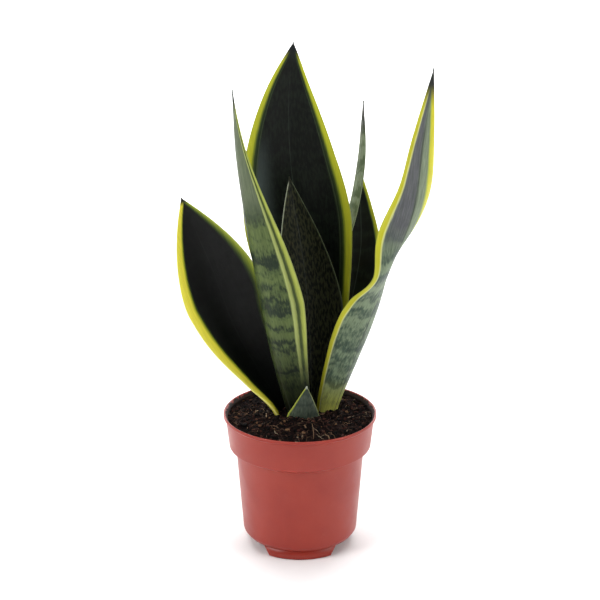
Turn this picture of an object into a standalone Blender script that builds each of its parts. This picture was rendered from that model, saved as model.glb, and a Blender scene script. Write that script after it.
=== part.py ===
"""Snake plant with yellow-edged leaves in a round plastic nursery pot, at real size.

Metres, +Z up. The origin is on the pot's axis, in the plane that its feet stand on. The plant's
best side faces -Y. Each leaf is a thick blade lofted along a curved spine, rooted in the soil
and standing on the buried rhizome that joins the leaves.
"""

import math
from dataclasses import dataclass

import bmesh
import bpy
from mathutils import Vector

# Pot, an injection-moulded shell with a stepped rim band, on a front and a back foot
POT_HEIGHT = 0.108
RIM_RADIUS = 0.0600
WALL = 0.0014
LIP_HEIGHT = 0.0028
BAND_TOP_RADIUS = 0.0582
BAND_HEIGHT = 0.0265
BAND_FOOT_RADIUS = 0.0556
STEP_DROP = 0.0030
BODY_TOP_RADIUS = 0.0503
BODY_FOOT_RADIUS = 0.0448
CORNER_HEIGHT = 0.0035
BASE_RADIUS = 0.0422
FOOT_HEIGHT = 0.0075
FOOT_RADIUS = 0.0419
FOOT_WIDTH = 0.0024
FOOT_LENGTH = 0.0480
FOOT_SLANT = 0.0045
FOOT_STUB = 0.0004
DRAIN_COUNT = 6
DRAIN_RADIUS = 0.0040
DRAIN_CIRCLE = 0.0270
POT_SEGMENTS = 72

# Soil
HEADSPACE = 0.0050
MOUND = 0.0032
GAP = 0.0003
SOCKET_GAP = 0.0005

# Rhizome, the buried stem that the leaves rise from, flat on top where they stand
RHIZOME_CENTRE = (0.0085, 0.0135)
RHIZOME_RADII = (0.0270, 0.0290)
RHIZOME_DEPTH = 0.0180
RHIZOME_CROWN = 0.35

# Leaf blades
BURIED = 0.0220
BLADE_ROWS = 32
BLADE_RING = 16
CREASE_SOFTNESS = 0.12
TIP_HALF_WIDTH = 0.0005
TIP_THICKNESS = 0.0010

SOIL_TOP = POT_HEIGHT - HEADSPACE
LEAF_FOOT = SOIL_TOP - BURIED


@dataclass
class Leaf:
    """One blade. The spine runs from its foot to its tip, with heights from the soil's surface;
    facing is the direction in plan, in degrees from +X, that the inner face looks in; fold is
    how far each half of the section curls and crease how far it folds, in degrees. The last
    three are read evenly along the spine."""

    name: str
    spine: tuple
    facing: tuple
    fold: tuple
    crease: tuple
    half_width: float
    foot_half_width: float
    widest_at: float
    thickness: float
    base_power: float = 1.5
    tip_power: float = 2.2


LEAVES = (
    Leaf(
        name="tall_back_leaf",
        spine=((0.008, 0.024, -BURIED), (0.009, 0.030, 0.018), (0.008, 0.038, 0.063),
               (0.004, 0.043, 0.106), (-0.0015, 0.045, 0.150), (-0.0075, 0.046, 0.198),
               (-0.0085, 0.044, 0.248), (-0.005, 0.040, 0.2905)),
        facing=(-90, -90, -90, -90),
        fold=(62, 55, 44, 26, 16, 12),
        crease=(2, 4, 6, 6, 4),
        half_width=0.0435,
        foot_half_width=0.010,
        widest_at=0.54,
        thickness=0.0050,
        tip_power=1.75,
    ),
    Leaf(
        name="left_leaf",
        spine=((-0.010, 0.0075, -BURIED), (-0.0165, 0.0095, 0.007), (-0.0335, 0.014, 0.035),
               (-0.0525, 0.015, 0.073), (-0.0685, 0.013, 0.121), (-0.090, 0.006, 0.178)),
        facing=(-32, -46, -64, -76, -82),
        fold=(62, 44, 30, 22, 14),
        crease=(2, 4, 6, 4),
        half_width=0.0335,
        foot_half_width=0.0075,
        widest_at=0.60,
        thickness=0.0050,
        base_power=1.3,
        tip_power=1.75,
    ),
    Leaf(
        name="front_left_leaf",
        spine=((0.003, 0.002, -BURIED), (-0.008, -0.004, 0.016), (-0.0185, -0.011, 0.058),
               (-0.0265, -0.017, 0.100), (-0.034, -0.021, 0.140), (-0.0415, -0.023, 0.182),
               (-0.047, -0.023, 0.223), (-0.0495, -0.021, 0.269)),
        facing=(60, 44, 34, 28, 18, 8),
        fold=(60, 72, 74, 56, 36, 20),
        crease=(4, 8, 10, 6),
        half_width=0.0305,
        foot_half_width=0.0075,
        widest_at=0.43,
        thickness=0.0046,
        base_power=1.3,
        tip_power=1.7,
    ),
    Leaf(
        name="centre_leaf",
        spine=((0.009, 0.016, -BURIED), (0.009, 0.022, 0.018), (0.0075, 0.027, 0.063),
               (0.0045, 0.029, 0.103), (0.000, 0.028, 0.138), (-0.005, 0.026, 0.168),
               (-0.0082, 0.023, 0.1895)),
        facing=(-90, -88, -86, -88),
        fold=(58, 48, 36, 28, 20),
        crease=(4, 8, 8, 6),
        half_width=0.0285,
        foot_half_width=0.0075,
        widest_at=0.50,
        thickness=0.0044,
        base_power=1.1,
        tip_power=1.35,
    ),
    Leaf(
        name="right_twisted_leaf",
        spine=((0.021, 0.010, -BURIED), (0.0265, 0.009, 0.006), (0.041, 0.001, 0.050),
               (0.055, -0.010, 0.093), (0.0690, -0.022, 0.136), (0.0842, -0.033, 0.182),
               (0.0896, -0.040, 0.234), (0.096, -0.044, 0.2905)),
        facing=(140, 138, 135, 134, 144, 164, 124, 96, 88, 86, 86),
        fold=(60, 58, 57, 56, 54, 40, 60, 62, 46, 32, 24),
        crease=(4, 8, 2, 18, 8),
        half_width=0.024,
        foot_half_width=0.009,
        widest_at=0.36,
        thickness=0.0046,
        tip_power=1.5,
    ),
    Leaf(
        name="back_right_leaf",
        spine=((0.026, 0.034, -BURIED), (0.027, 0.039, 0.010), (0.034, 0.047, 0.048),
               (0.0425, 0.052, 0.086), (0.048, 0.055, 0.122), (0.0475, 0.0555, 0.156),
               (0.047, 0.0545, 0.186)),
        facing=(-112, -104, -96, -94),
        fold=(58, 44, 34, 24, 14),
        crease=(4, 6, 6, 4),
        half_width=0.019,
        foot_half_width=0.0065,
        widest_at=0.58,
        thickness=0.0036,
        base_power=1.2,
        tip_power=1.7,
    ),
    Leaf(
        name="back_narrow_leaf",
        spine=((0.012, 0.037, -BURIED), (0.0125, 0.042, 0.022), (0.017, 0.0455, 0.066),
               (0.027, 0.0455, 0.112), (0.039, 0.0435, 0.154), (0.046, 0.042, 0.198),
               (0.0485, 0.041, 0.245)),
        facing=(-90, -80, -60, -40, -30),
        fold=(50, 50, 40, 20),
        crease=(4, 4, 4, 2),
        half_width=0.0062,
        foot_half_width=0.0030,
        widest_at=0.78,
        thickness=0.0028,
        tip_power=1.8,
    ),
    Leaf(
        name="front_sheath_leaf",
        spine=((0.0025, -0.007, -BURIED), (0.0025, -0.012, -0.002), (0.0038, -0.0135, 0.012),
               (0.0052, -0.011, 0.031)),
        facing=(90, 90, 90),
        fold=(60, 54, 44, 30),
        crease=(2, 6, 10, 10),
        half_width=0.0150,
        foot_half_width=0.009,
        widest_at=0.42,
        thickness=0.0034,
        tip_power=1.25,
    ),
)


def smooth(values, t):
    """The value at t, 0 to 1, of a Catmull-Rom curve through evenly spaced values or points."""
    spans = len(values) - 1
    i = min(int(t * spans), spans - 1)
    f = t * spans - i
    b, c = values[i], values[i + 1]
    a = values[i - 1] if i > 0 else b + (b - c)
    d = values[i + 2] if i + 2 <= spans else c + (c - b)
    return b + (c - a) * (f / 2) + (a * 2 - b * 5 + c * 4 - d) * (f * f / 2) + (
        (b - c) * 3 + d - a
    ) * (f * f * f / 2)


def even_spine(leaf, count):
    """count points evenly spaced along the smooth curve through the leaf's spine."""
    points = [Vector((x, y, SOIL_TOP + height)) for x, y, height in leaf.spine]
    fine = [smooth(points, i / 400) for i in range(401)]
    reach = [0.0]
    for a, b in zip(fine, fine[1:]):
        reach.append(reach[-1] + (b - a).length)
    spaced, j = [], 0
    for i in range(count):
        want = reach[-1] * i / (count - 1)
        while j < 399 and reach[j + 1] < want:
            j += 1
        f = (want - reach[j]) / (reach[j + 1] - reach[j])
        spaced.append(fine[j].lerp(fine[j + 1], f))
    return spaced


def blade_half_width(leaf, t):
    if t < leaf.widest_at:
        share = 1 - t / leaf.widest_at
        narrowing = (leaf.half_width - leaf.foot_half_width) * share**leaf.base_power
        return leaf.half_width - narrowing
    share = (t - leaf.widest_at) / (1 - leaf.widest_at)
    return max(leaf.half_width * (1 - share**leaf.tip_power), TIP_HALF_WIDTH)


def blade_thickness(leaf, t):
    return TIP_THICKNESS + (leaf.thickness - TIP_THICKNESS) * (1 - t) ** 1.3


def blade_ring(leaf, t, centre, tangent, grow):
    """The points round one section: an ellipse bent along the curled and creased midline."""
    azimuth = math.radians(smooth(leaf.facing, t))
    inward = Vector((math.cos(azimuth), math.sin(azimuth), 0))
    inward = (inward - tangent * inward.dot(tangent)).normalized()
    across = tangent.cross(inward)
    half = blade_half_width(leaf, t)
    thick = blade_thickness(leaf, t) / 2 + grow
    curl = math.radians(smooth(leaf.fold, t)) / half
    fold = math.tan(math.radians(smooth(leaf.crease, t)))
    soft = CREASE_SOFTNESS * half
    ring = []
    for k in range(BLADE_RING):
        turn = 2 * math.pi * k / BLADE_RING
        s = (half + grow) * math.cos(turn)
        reach = math.hypot(s, soft)
        sideways = math.sin(curl * s) / curl
        depth = (1 - math.cos(curl * s)) / curl + fold * (reach - soft)
        slope = math.sin(curl * s) + fold * s / reach
        normal = (inward * math.cos(curl * s) - across * slope).normalized()
        ring.append(
            centre + across * sideways + inward * depth + normal * thick * math.sin(turn)
        )
    return ring


def blade_mesh(name, leaf, grow=0.0):
    """The closed blade, or with grow the same blade that much larger all round, as a cutter."""
    spine = even_spine(leaf, BLADE_ROWS)
    bm = bmesh.new()
    rings = []
    for i, centre in enumerate(spine):
        before, after = spine[max(i - 1, 0)], spine[min(i + 1, BLADE_ROWS - 1)]
        tangent = (after - before).normalized() if i else Vector((0, 0, 1))
        ends = {0: -grow, BLADE_ROWS - 1: grow}
        centre = centre + tangent * ends.get(i, 0.0)
        ring = blade_ring(leaf, i / (BLADE_ROWS - 1), centre, tangent, grow)
        rings.append([bm.verts.new(p) for p in ring])
    for low, high in zip(rings, rings[1:]):
        for k in range(BLADE_RING):
            m = (k + 1) % BLADE_RING
            bm.faces.new((low[k], low[m], high[m], high[k]))
    for ring in (rings[0], rings[-1]):
        for k in range(BLADE_RING // 2):
            m = BLADE_RING - k
            corners = (ring[k], ring[k + 1], ring[m - 1], ring[m % BLADE_RING])
            bm.faces.new(dict.fromkeys(corners))
    bmesh.ops.recalc_face_normals(bm, faces=bm.faces)
    mesh = bpy.data.meshes.new(name)
    bm.to_mesh(mesh)
    bm.free()
    mesh.shade_smooth()
    return mesh


def material(name, colour, roughness):
    made = bpy.data.materials.new(name)
    made.use_nodes = True
    shader = made.node_tree.nodes["Principled BSDF"]
    shader.inputs["Base Color"].default_value = (*colour, 1)
    shader.inputs["Roughness"].default_value = roughness
    shader.inputs["Metallic"].default_value = 0
    return made


def clear_scene():
    for obj in list(bpy.data.objects):
        bpy.data.objects.remove(obj, do_unlink=True)


def collection(name):
    made = bpy.data.collections.new(name)
    bpy.context.scene.collection.children.link(made)
    return made


def add(name, mesh, home, look=None):
    obj = bpy.data.objects.new(name, mesh)
    home.objects.link(obj)
    if look:
        mesh.materials.append(look)
    return obj


def helper(obj):
    """A cutter or guide: kept in the scene, never rendered or built."""
    obj.hide_render = True
    obj.display_type = "WIRE"
    return obj


def cut(obj, cutter, name):
    boolean = obj.modifiers.new(name, "BOOLEAN")
    boolean.operation = "DIFFERENCE"
    boolean.object = cutter


def turned(name, profile, home, look=None):
    """A closed body of revolution. The profile is (radius, height) points that start on the
    axis at the top of its inner side and run down its outer side back to the axis."""
    mesh = bpy.data.meshes.new(name)
    points = [(radius, 0, height) for radius, height in profile]
    mesh.from_pydata(points, [(i, i + 1) for i in range(len(points) - 1)], [])
    obj = add(name, mesh, home, look)
    screw = obj.modifiers.new("turn", "SCREW")
    screw.steps = POT_SEGMENTS
    screw.render_steps = POT_SEGMENTS
    screw.use_merge_vertices = True
    screw.merge_threshold = 0.0001
    screw.use_smooth_shade = True
    return obj


def pot_inner():
    """The inner wall from the floor up: (radius, height) points."""
    floor = FOOT_HEIGHT + WALL
    band_foot = POT_HEIGHT - BAND_HEIGHT
    return [
        (BASE_RADIUS - WALL, floor),
        (BODY_FOOT_RADIUS - WALL, FOOT_HEIGHT + CORNER_HEIGHT + WALL / 2),
        (BODY_TOP_RADIUS - WALL, band_foot - STEP_DROP + WALL),
        (BAND_FOOT_RADIUS - WALL, band_foot + WALL),
        (BAND_TOP_RADIUS - WALL, POT_HEIGHT - LIP_HEIGHT),
        (RIM_RADIUS - WALL, POT_HEIGHT - WALL / 3),
    ]


def pot_profile():
    band_foot = POT_HEIGHT - BAND_HEIGHT
    lip = WALL / 3
    return [
        (0, FOOT_HEIGHT + WALL),
        *pot_inner(),
        (RIM_RADIUS - WALL + lip, POT_HEIGHT),
        (RIM_RADIUS - lip, POT_HEIGHT),
        (RIM_RADIUS, POT_HEIGHT - lip),
        (BAND_TOP_RADIUS, POT_HEIGHT - LIP_HEIGHT - WALL / 2),
        (BAND_FOOT_RADIUS, band_foot),
        (BODY_TOP_RADIUS, band_foot - STEP_DROP),
        (BODY_FOOT_RADIUS, FOOT_HEIGHT + CORNER_HEIGHT),
        (BASE_RADIUS, FOOT_HEIGHT),
        (FOOT_RADIUS, FOOT_HEIGHT - FOOT_STUB),
        (FOOT_RADIUS, 0),
        (FOOT_RADIUS - FOOT_WIDTH, 0),
        (FOOT_RADIUS - FOOT_WIDTH, FOOT_HEIGHT),
        (0, FOOT_HEIGHT),
    ]


def channel_cutter(name, side, home):
    """Takes the foot ring away on one side, to slanted ends that leave a front and a back foot."""
    low, high = -0.001, FOOT_HEIGHT - FOOT_STUB
    bm = bmesh.new()
    bmesh.ops.create_cube(bm, size=1)
    for vert in bm.verts:
        near = FOOT_LENGTH / 2 + (FOOT_SLANT if vert.co.z > 0 else 0)
        x = near if vert.co.x < 0 else BODY_TOP_RADIUS
        vert.co = (x, vert.co.y * 4 * FOOT_RADIUS, high if vert.co.z > 0 else low)
    mesh = bpy.data.meshes.new(name)
    bm.to_mesh(mesh)
    bm.free()
    obj = helper(add(name, mesh, home))
    obj.rotation_euler.z = side
    return obj


def drain_cutter(name, turn, home):
    bm = bmesh.new()
    bmesh.ops.create_cone(
        bm, cap_ends=True, segments=20, radius1=DRAIN_RADIUS, radius2=DRAIN_RADIUS, depth=4 * WALL
    )
    mesh = bpy.data.meshes.new(name)
    bm.to_mesh(mesh)
    bm.free()
    obj = helper(add(name, mesh, home))
    obj.location = (
        DRAIN_CIRCLE * math.cos(turn),
        DRAIN_CIRCLE * math.sin(turn),
        FOOT_HEIGHT + WALL / 2,
    )
    return obj


def make_pot(home, cutters):
    pot = turned("pot", pot_profile(), home, material("terracotta_plastic", (0.42, 0.10, 0.06), 0.4))
    for i in range(2):
        cut(pot, channel_cutter(f"channel_cutter_{i}", i * math.pi, cutters), f"channel_{i}")
    for i in range(DRAIN_COUNT):
        turn = (i * 2 / DRAIN_COUNT - 0.5) * math.pi
        cut(pot, drain_cutter(f"drain_cutter_{i}", turn, cutters), f"drain_{i}")
    return pot


def inner_radius_at(height):
    """The inner wall's radius at a height."""
    wall = pot_inner()
    for (r0, z0), (r1, z1) in zip(wall, wall[1:]):
        if z0 <= height <= z1:
            return r0 + (r1 - r0) * (height - z0) / (z1 - z0)
    return wall[-1][0]


def soil_profile():
    filled = [(r, z) for r, z in pot_inner() if z < SOIL_TOP]
    side = [(r - GAP, z + (GAP if i == 0 else 0)) for i, (r, z) in enumerate(filled)]
    edge = inner_radius_at(SOIL_TOP) - GAP
    return [
        (0, SOIL_TOP + MOUND),
        (edge * 0.4, SOIL_TOP + MOUND * 0.8),
        (edge * 0.8, SOIL_TOP + MOUND * 0.2),
        (edge, SOIL_TOP),
        *reversed(side),
        (0, FOOT_HEIGHT + WALL + GAP),
    ]


def rhizome_mesh(name, grow=0.0):
    """A low dome with its crown cut flat just under the feet of the leaves."""
    top = LEAF_FOOT - GAP
    middle = top - RHIZOME_CROWN * RHIZOME_DEPTH
    rise = (1 - RHIZOME_CROWN) * RHIZOME_DEPTH + grow
    bm = bmesh.new()
    bmesh.ops.create_uvsphere(bm, u_segments=28, v_segments=12, radius=1)
    for vert in bm.verts:
        x = RHIZOME_CENTRE[0] + vert.co.x * (RHIZOME_RADII[0] + grow)
        y = RHIZOME_CENTRE[1] + vert.co.y * (RHIZOME_RADII[1] + grow)
        vert.co = (x, y, min(middle + vert.co.z * rise, top + grow))
    mesh = bpy.data.meshes.new(name)
    bm.to_mesh(mesh)
    bm.free()
    return mesh


def make_soil(home, cutters):
    soil = turned("soil", soil_profile(), home, material("potting_mix", (0.03, 0.02, 0.015), 0.95))
    hollow = helper(add("rhizome_hollow", rhizome_mesh("rhizome_hollow", GAP), cutters))
    cut(soil, hollow, "rhizome")
    for leaf in LEAVES:
        name = f"{leaf.name}_socket"
        socket = helper(add(name, blade_mesh(name, leaf, SOCKET_GAP), cutters))
        cut(soil, socket, leaf.name)
    return soil


def make_rhizome(home):
    look = material("rhizome_skin", (0.55, 0.30, 0.12), 0.7)
    return add("rhizome", rhizome_mesh("rhizome"), home, look)


def make_leaves(home):
    look = material("leaf", (0.04, 0.10, 0.03), 0.4)
    for leaf in LEAVES:
        add(leaf.name, blade_mesh(leaf.name, leaf), home, look)


def main():
    clear_scene()
    home = collection("potted_snake_plant")
    cutters = collection("cutters")
    make_pot(home, cutters)
    make_soil(home, cutters)
    make_rhizome(home)
    make_leaves(home)


main()
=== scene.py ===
"""Looks of the potted snake plant: fine leaves, moulded pot, potting mix, studio and camera.

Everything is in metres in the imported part's frame, with the pot's axis on Z and -Y to the front.
"""

import math
import random
from dataclasses import dataclass

import bmesh
import bpy
from mathutils import Matrix, Vector, noise


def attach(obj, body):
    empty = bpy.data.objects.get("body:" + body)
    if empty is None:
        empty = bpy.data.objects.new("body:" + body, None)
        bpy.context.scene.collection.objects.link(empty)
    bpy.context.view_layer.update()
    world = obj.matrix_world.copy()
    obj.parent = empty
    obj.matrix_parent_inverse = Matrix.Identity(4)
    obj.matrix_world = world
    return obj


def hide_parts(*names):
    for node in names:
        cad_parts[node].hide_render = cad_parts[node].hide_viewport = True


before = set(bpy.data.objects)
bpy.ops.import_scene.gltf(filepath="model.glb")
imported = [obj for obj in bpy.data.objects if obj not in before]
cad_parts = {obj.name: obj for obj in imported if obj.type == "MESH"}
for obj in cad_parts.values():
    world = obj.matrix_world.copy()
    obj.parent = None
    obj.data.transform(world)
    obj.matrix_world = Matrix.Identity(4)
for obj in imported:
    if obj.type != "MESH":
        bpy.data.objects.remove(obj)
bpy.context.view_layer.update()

# Sizes that repeat the part's own
POT_HEIGHT = 0.108
RIM_RADIUS = 0.0600
WALL = 0.0014
LIP_HEIGHT = 0.0028
BAND_TOP_RADIUS = 0.0582
BAND_HEIGHT = 0.0265
BAND_FOOT_RADIUS = 0.0556
STEP_DROP = 0.0030
BODY_TOP_RADIUS = 0.0503
BODY_FOOT_RADIUS = 0.0448
CORNER_HEIGHT = 0.0035
BASE_RADIUS = 0.0422
FOOT_HEIGHT = 0.0075
FOOT_RADIUS = 0.0419
FOOT_WIDTH = 0.0024
FOOT_LENGTH = 0.0480
FOOT_SLANT = 0.0045
DRAIN_COUNT = 6
DRAIN_RADIUS = 0.0040
DRAIN_CIRCLE = 0.0270
SOIL_TOP = 0.103
MOUND = 0.0032
BURIED = 0.0220
CREASE_SOFTNESS = 0.12
TIP_HALF_WIDTH = 0.0005
TIP_THICKNESS = 0.0010

# Height over which the painted shade on the pot's inner wall sets in below the rim: a near-black colour
# standing in for the shadow inside the pot
WALL_SHADE_DEPTH = 0.0012

# Soil surface and what lies on it
SOIL_EDGE = 0.0566
MOUND_RADIUS = 0.0565
HEAP_AT = (0.004, -0.020)
HEAP_HEIGHT = 0.0022
HEAP_SPREAD = 0.00022
ROUGHNESS_HEIGHT = 0.0011
LUMP_HEIGHT = 0.0006
SKIRT = ((0.0030, 0.0003), (0.0060, 0.0009))
CRUMB_REACH = 0.0562
CRUMB_SIZES = (0.0003, 0.0014)
SMALL_CRUMB = 0.00055
FIBRE_START_REACH = 0.054
FIBRE_END_REACH = 0.0563
FIBRE_POINTS = 9
TWIG_EVERY = 16
STICK_FOOT = (0.0102, -0.0450)
STICK_SUNK = 0.0010
STICK_RADIUS = 0.00026
STICK_REACH = Vector((-0.0006, 0.0050, 0.0115))
STICK_BEND = 0.0004

# Studio and camera
FLOOR_HALF_WIDTH = 5.0
FLOOR_FRONT = -4.0
FLOOR_BACK = 0.8
BACKDROP_BEND = 1.2
BACKDROP_TOP = 4.5
FLOOR_DROP = 0.0002
AIR_STRENGTH = 0.14
SENSOR = 36
LENS = 124.56
CAMERA_PLACE = (0, -1.5, 0.741)
CAMERA_TILT = 70.2

# Fineness of the visible meshes
BLADE_ROWS = 220
BLADE_RING = 72
POT_SEGMENTS = 240
CRUMBS = 3600
FIBRES = 330


def srgb(red, green, blue, alpha=1.0):
    """The linear colour of an 8-bit display colour."""
    shares = (red / 255, green / 255, blue / 255)
    bent = [s / 12.92 if s <= 0.04045 else ((s + 0.055) / 1.055) ** 2.4 for s in shares]
    return (*bent, alpha)


# ---------------------------------------------------------------- leaves: shapes and colours

MID_GREEN = srgb(84, 104, 48)
DARK_GREEN = srgb(36, 52, 26)


def clear(colour):
    return (*colour[:3], 0.0)


@dataclass
class Leaf:
    """One blade's shape, as the part has it, and its paint.

    spine holds (x, y, height over the soil line) points. facing is the heading of the inner
    face, fold the half angle of the curl and crease the midrib's slope, all in degrees from foot
    to tip. A margin is (mm from the edge, colour) stops whose alpha covers the face, and its
    scale widens it from foot to tip. The plus margin lies on the blade's across side. base_,
    rib_ and tip_ values paint the foot, the midrib and the point, calm_above is the t over which
    the bands fade into the tints, and the reaches and lengths are in mm.
    """

    name: str
    spine: tuple
    facing: tuple
    fold: tuple
    crease: tuple
    half_width: float
    foot_half_width: float
    widest_at: float
    thickness: float
    base_power: float = 1.5
    tip_power: float = 2.2
    plus_margin: tuple = ()
    minus_margin: tuple = ()
    plus_scale: tuple = (0.5, 0.8, 1.0, 1.0, 0.8, 0.5)
    minus_scale: tuple = (0.5, 0.8, 1.0, 1.0, 0.8, 0.5)
    # inner_ colours are much darker than the outer ones: partly the leaf's own dark green, partly
    # painted shade
    inner_dark: tuple = srgb(9, 12, 10)
    inner_light: tuple = srgb(24, 31, 23)
    outer_dark: tuple = srgb(58, 76, 62)
    outer_light: tuple = srgb(122, 140, 112)
    base_colour: tuple = srgb(158, 166, 80)
    base_reach: float = 30.0
    base_cover: float = 0.8
    base_least: float = 0.35
    band_length: float = 8.0
    rib_colour: tuple = srgb(70, 78, 72)
    rib_width: float = 0.5
    rib_cover: float = 0.4
    tip_length: float = 7.0
    tip_colour: tuple = srgb(34, 36, 26)
    mottle: float = 0.2
    calm_above: float = 2.0
    plus_tint: tuple = ()
    minus_tint: tuple = ()
    sheen_colour: tuple = ()
    sheen_span: tuple = ()
    shaded_margin_reach: float = 0.0
    seed: float = 0.0


# The faint lighter line at 9.8 mm is a painted highlight where the rolled margin turns
OLIVE_MARGIN = (
    (0.0, srgb(150, 156, 60)), (1.2, srgb(188, 190, 50)), (4.6, srgb(178, 182, 44)),
    (6.0, srgb(118, 130, 38)), (7.2, srgb(52, 66, 28)), (9.0, srgb(24, 36, 18)),
    (9.8, srgb(62, 74, 50, 0.7)), (11.0, clear(DARK_GREEN)),
)
BRIGHT_MARGIN = (
    (0.0, srgb(250, 244, 140)), (1.2, srgb(248, 238, 84)), (6.4, srgb(240, 228, 72)),
    (7.8, srgb(180, 184, 48)), (9.0, srgb(70, 84, 22)), (10.4, clear(DARK_GREEN)),
)
GREEN_EDGE = (
    (0.0, srgb(190, 198, 110)), (1.0, srgb(158, 170, 58)), (2.4, srgb(116, 132, 40)),
    (4.2, srgb(58, 72, 24)), (6.0, clear(DARK_GREEN)),
)
NARROW_MARGIN = (
    (0.0, srgb(170, 176, 80)), (0.8, srgb(196, 194, 56)), (2.8, srgb(170, 174, 50)),
    (4.0, MID_GREEN), (5.2, clear(DARK_GREEN)),
)
CHANNEL_MARGIN = (
    (0.0, srgb(128, 136, 84)), (1.2, srgb(172, 182, 84)), (3.0, srgb(150, 160, 72)),
    (4.0, srgb(70, 82, 38)), (5.6, srgb(54, 66, 32)), (6.6, srgb(144, 154, 84)),
    (8.4, srgb(164, 174, 104)), (9.6, clear(srgb(76, 92, 46))),
)
TWIST_LEFT = (
    (0.0, srgb(150, 154, 60)), (1.0, srgb(186, 184, 52)), (4.2, srgb(182, 180, 46)),
    (5.2, srgb(206, 208, 126)), (5.9, srgb(176, 182, 132)), (6.8, clear(srgb(110, 122, 92))),
)
TWIST_RIGHT = (
    (0.0, srgb(212, 208, 90)), (1.6, srgb(214, 206, 56)), (6.6, srgb(206, 200, 52)),
    (8.2, srgb(150, 168, 90)), (9.4, clear(srgb(110, 128, 96))),
)
THIN_EDGE = ((0.0, srgb(128, 138, 110)), (0.7, srgb(104, 114, 86)), (1.5, clear(DARK_GREEN)))
SILVER_EDGE = ((0.0, srgb(172, 178, 156)), (0.8, srgb(140, 146, 122)), (1.5, clear(DARK_GREEN)))
DIM_EDGE = ((0.0, srgb(88, 96, 74)), (0.7, srgb(62, 70, 50)), (1.4, clear(DARK_GREEN)))
SHEATH_LEFT = (
    (0.0, srgb(190, 198, 90)), (1.2, srgb(168, 178, 70)), (2.8, clear(srgb(70, 84, 52))),
)
SHEATH_RIGHT = (
    (0.0, srgb(178, 184, 130)), (0.6, srgb(136, 146, 96)), (1.5, clear(srgb(70, 84, 52))),
)

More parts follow.
